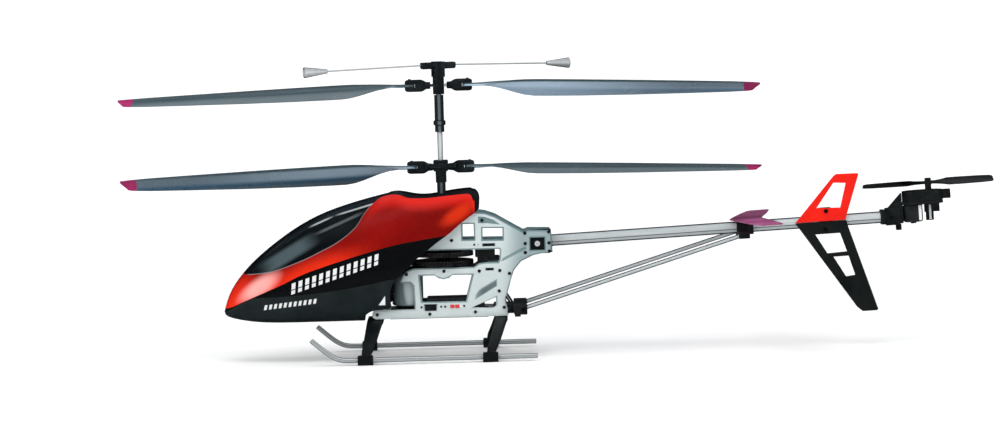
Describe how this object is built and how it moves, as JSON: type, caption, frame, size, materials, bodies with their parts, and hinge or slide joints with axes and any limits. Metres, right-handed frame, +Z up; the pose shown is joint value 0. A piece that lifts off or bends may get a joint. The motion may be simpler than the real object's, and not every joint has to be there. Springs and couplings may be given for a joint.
{
  "type": "remote control helicopter",
  "caption": "Coaxial twin-rotor toy helicopter with folding blades, stabiliser bar, plate frame, sliding canopy, skids, braced boom, fins and horizontal tail rotor.",
  "frame": {"origin": "main-rotor axis at the underside of the battery tray", "axes": "+Z up along the mast, nose towards -X, port side towards -Y"},
  "size_m": [0.7835, 0.181, 0.2648],
  "materials": {
    "plate_aluminium": "satin anodised sheet",
    "polished_tube": "polished tube",
    "bright_steel": "bright turned steel",
    "black_plastic": "moulded, semi-gloss",
    "gear_plastic": "moulded acetal",
    "blade_plastic": "glossy dark grey with magenta tips",
    "canopy_paint": "glossy red over black",
    "fin_red": "glossy",
    "fin_black": "satin",
    "stabilizer_magenta": "satin",
    "motor_can": "plated can",
    "brass": "machined",
    "battery_wrap": "heat-shrink film",
    "circuit_board": "solder mask"
  },
  "bodies": {
    "airframe": {"side_plate_port": "plate_aluminium", "side_plate_starboard": "plate_aluminium", "tail_boom": "polished_tube", "boom_strut_port": "polished_tube", "boom_strut_starboard": "polished_tube", "skid_tube_port": "polished_tube", "skid_tube_starboard": "polished_tube", "battery_tray": "black_plastic", "lower_bearing_block": "black_plastic", "upper_bearing_block": "black_plastic", "boom_clamp": "black_plastic", "strut_anchor": "black_plastic", "brace_clamp": "black_plastic", "tail_gearbox_case": "black_plastic", "tail_gearbox_cover": "black_plastic", "leg_arch_front": "black_plastic", "leg_arch_rear": "black_plastic", "foot_clamp_front_port": "black_plastic", "foot_clamp_front_starboard": "black_plastic", "foot_clamp_rear_port": "black_plastic", "foot_clamp_rear_starboard": "black_plastic", "equipment_shelf": "black_plastic", "power_switch_body": "black_plastic", "tail_fin_upper": "fin_red", "tail_fin_lower": "fin_black", "horizontal_stabilizer": "stabilizer_magenta", "lower_motor": "motor_can", "upper_motor": "motor_can", "tail_motor": "motor_can", "battery_pack": "battery_wrap", "receiver_board": "circuit_board"},
    "canopy": {"canopy_half_port": "canopy_paint", "canopy_half_starboard": "canopy_paint"},
    "lower_rotor": {"outer_shaft": "black_plastic", "outer_main_gear": "gear_plastic", "lower_hub": "black_plastic"},
    "lower_yoke": {"lower_yoke": "black_plastic"},
    "lower_blade_fore": {"lower_blade_fore": "blade_plastic"},
    "lower_blade_aft": {"lower_blade_aft": "blade_plastic"},
    "upper_rotor": {"inner_shaft": "bright_steel", "inner_main_gear": "gear_plastic", "mast_sleeve": "black_plastic", "upper_hub": "black_plastic"},
    "upper_grips": {"upper_spindle": "bright_steel", "upper_grip_fore": "black_plastic", "upper_grip_aft": "black_plastic"},
    "upper_blade_fore": {"upper_blade_fore": "blade_plastic"},
    "upper_blade_aft": {"upper_blade_aft": "blade_plastic"},
    "flybar": {"flybar_holder": "black_plastic", "flybar_rod": "bright_steel", "flybar_weight_fore": "bright_steel", "flybar_weight_aft": "bright_steel", "flybar_link_fore": "black_plastic", "flybar_link_aft": "black_plastic"},
    "lower_motor_pinion": {"lower_motor_pinion": "brass"},
    "upper_motor_pinion": {"upper_motor_pinion": "brass"},
    "tail_rotor": {"tail_rotor": "gear_plastic", "tail_rotor_gear": "gear_plastic"},
    "tail_motor_pinion": {"tail_motor_pinion": "brass"},
    "power_switch": {"power_switch_slider": "black_plastic"}
  },
  "joints": [
    {"name": "canopy_slide", "type": "slide", "parent": "airframe", "child": "canopy", "axis": [-1, 0, 0], "range_m": [0, 0.08]},
    {"name": "lower_rotor_spin", "type": "hinge", "parent": "airframe", "child": "lower_rotor", "pos_m": [0, 0, 0.12], "axis": [0, 0, 1], "continuous": true},
    {"name": "upper_rotor_spin", "type": "hinge", "parent": "airframe", "child": "upper_rotor", "pos_m": [0, 0, 0.12], "axis": [0, 0, 1], "continuous": true},
    {"name": "upper_motor_pinion_spin", "type": "hinge", "parent": "airframe", "child": "upper_motor_pinion", "pos_m": [-0.0312, 0, 0.0566], "axis": [0, 0, 1], "continuous": true},
    {"name": "lower_motor_pinion_spin", "type": "hinge", "parent": "airframe", "child": "lower_motor_pinion", "pos_m": [-0.0312, 0, 0.0489], "axis": [0, 0, 1], "continuous": true},
    {"name": "lower_teeter", "type": "hinge", "parent": "lower_rotor", "child": "lower_yoke", "pos_m": [0, 0, 0.1346], "axis": [1, 0, 0], "range_deg": [-2, 12]},
    {"name": "lower_blade_fore_fold", "type": "hinge", "parent": "lower_yoke", "child": "lower_blade_fore", "pos_m": [-0.026, 0, 0.1346], "axis": [0, 0.1736, 0.9848], "range_deg": [-80, 80]},
    {"name": "lower_blade_aft_fold", "type": "hinge", "parent": "lower_yoke", "child": "lower_blade_aft", "pos_m": [0.026, 0, 0.1346], "axis": [0, 0.1736, 0.9848], "range_deg": [-80, 80]},
    {"name": "flybar_teeter", "type": "hinge", "parent": "upper_rotor", "child": "flybar", "pos_m": [0, 0, 0.2234], "axis": [-0.309, 0.9511, 0], "range_deg": [-10, 10]},
    {"name": "upper_teeter", "type": "hinge", "parent": "upper_rotor", "child": "upper_grips", "pos_m": [0, 0, 0.2079], "axis": [1, 0, 0], "range_deg": [-6, 6]},
    {"name": "upper_blade_fore_fold", "type": "hinge", "parent": "upper_grips", "child": "upper_blade_fore", "pos_m": [-0.026, 0, 0.2079], "axis": [0, 0.0698, 0.9976], "range_deg": [-80, 80]},
    {"name": "upper_blade_aft_fold", "type": "hinge", "parent": "upper_grips", "child": "upper_blade_aft", "pos_m": [0.026, 0, 0.2079], "axis": [0, 0.0698, 0.9976], "range_deg": [-80, 80]},
    {"name": "tail_rotor_spin", "type": "hinge", "parent": "airframe", "child": "tail_rotor", "pos_m": [0.438, 0, 0.08009], "axis": [-0.0418, 0, 0.9991], "continuous": true},
    {"name": "tail_motor_pinion_spin", "type": "hinge", "parent": "airframe", "child": "tail_motor_pinion", "pos_m": [0.42301, 0, 0.07946], "axis": [-0.0418, 0, 0.9991], "continuous": true},
    {"name": "power_switch_slide", "type": "slide", "parent": "airframe", "child": "power_switch", "axis": [1, 0, 0], "range_m": [0, 0.003]}
  ],
  "couplings": [
    {"joint": "upper_motor_pinion_spin", "follows": "lower_rotor_spin", "ratio": -5.5},
    {"joint": "lower_motor_pinion_spin", "follows": "upper_rotor_spin", "ratio": -5.5},
    {"joint": "upper_teeter", "follows": "flybar_teeter", "ratio": -0.5},
    {"joint": "tail_motor_pinion_spin", "follows": "tail_rotor_spin", "ratio": -2.3333}
  ]
}
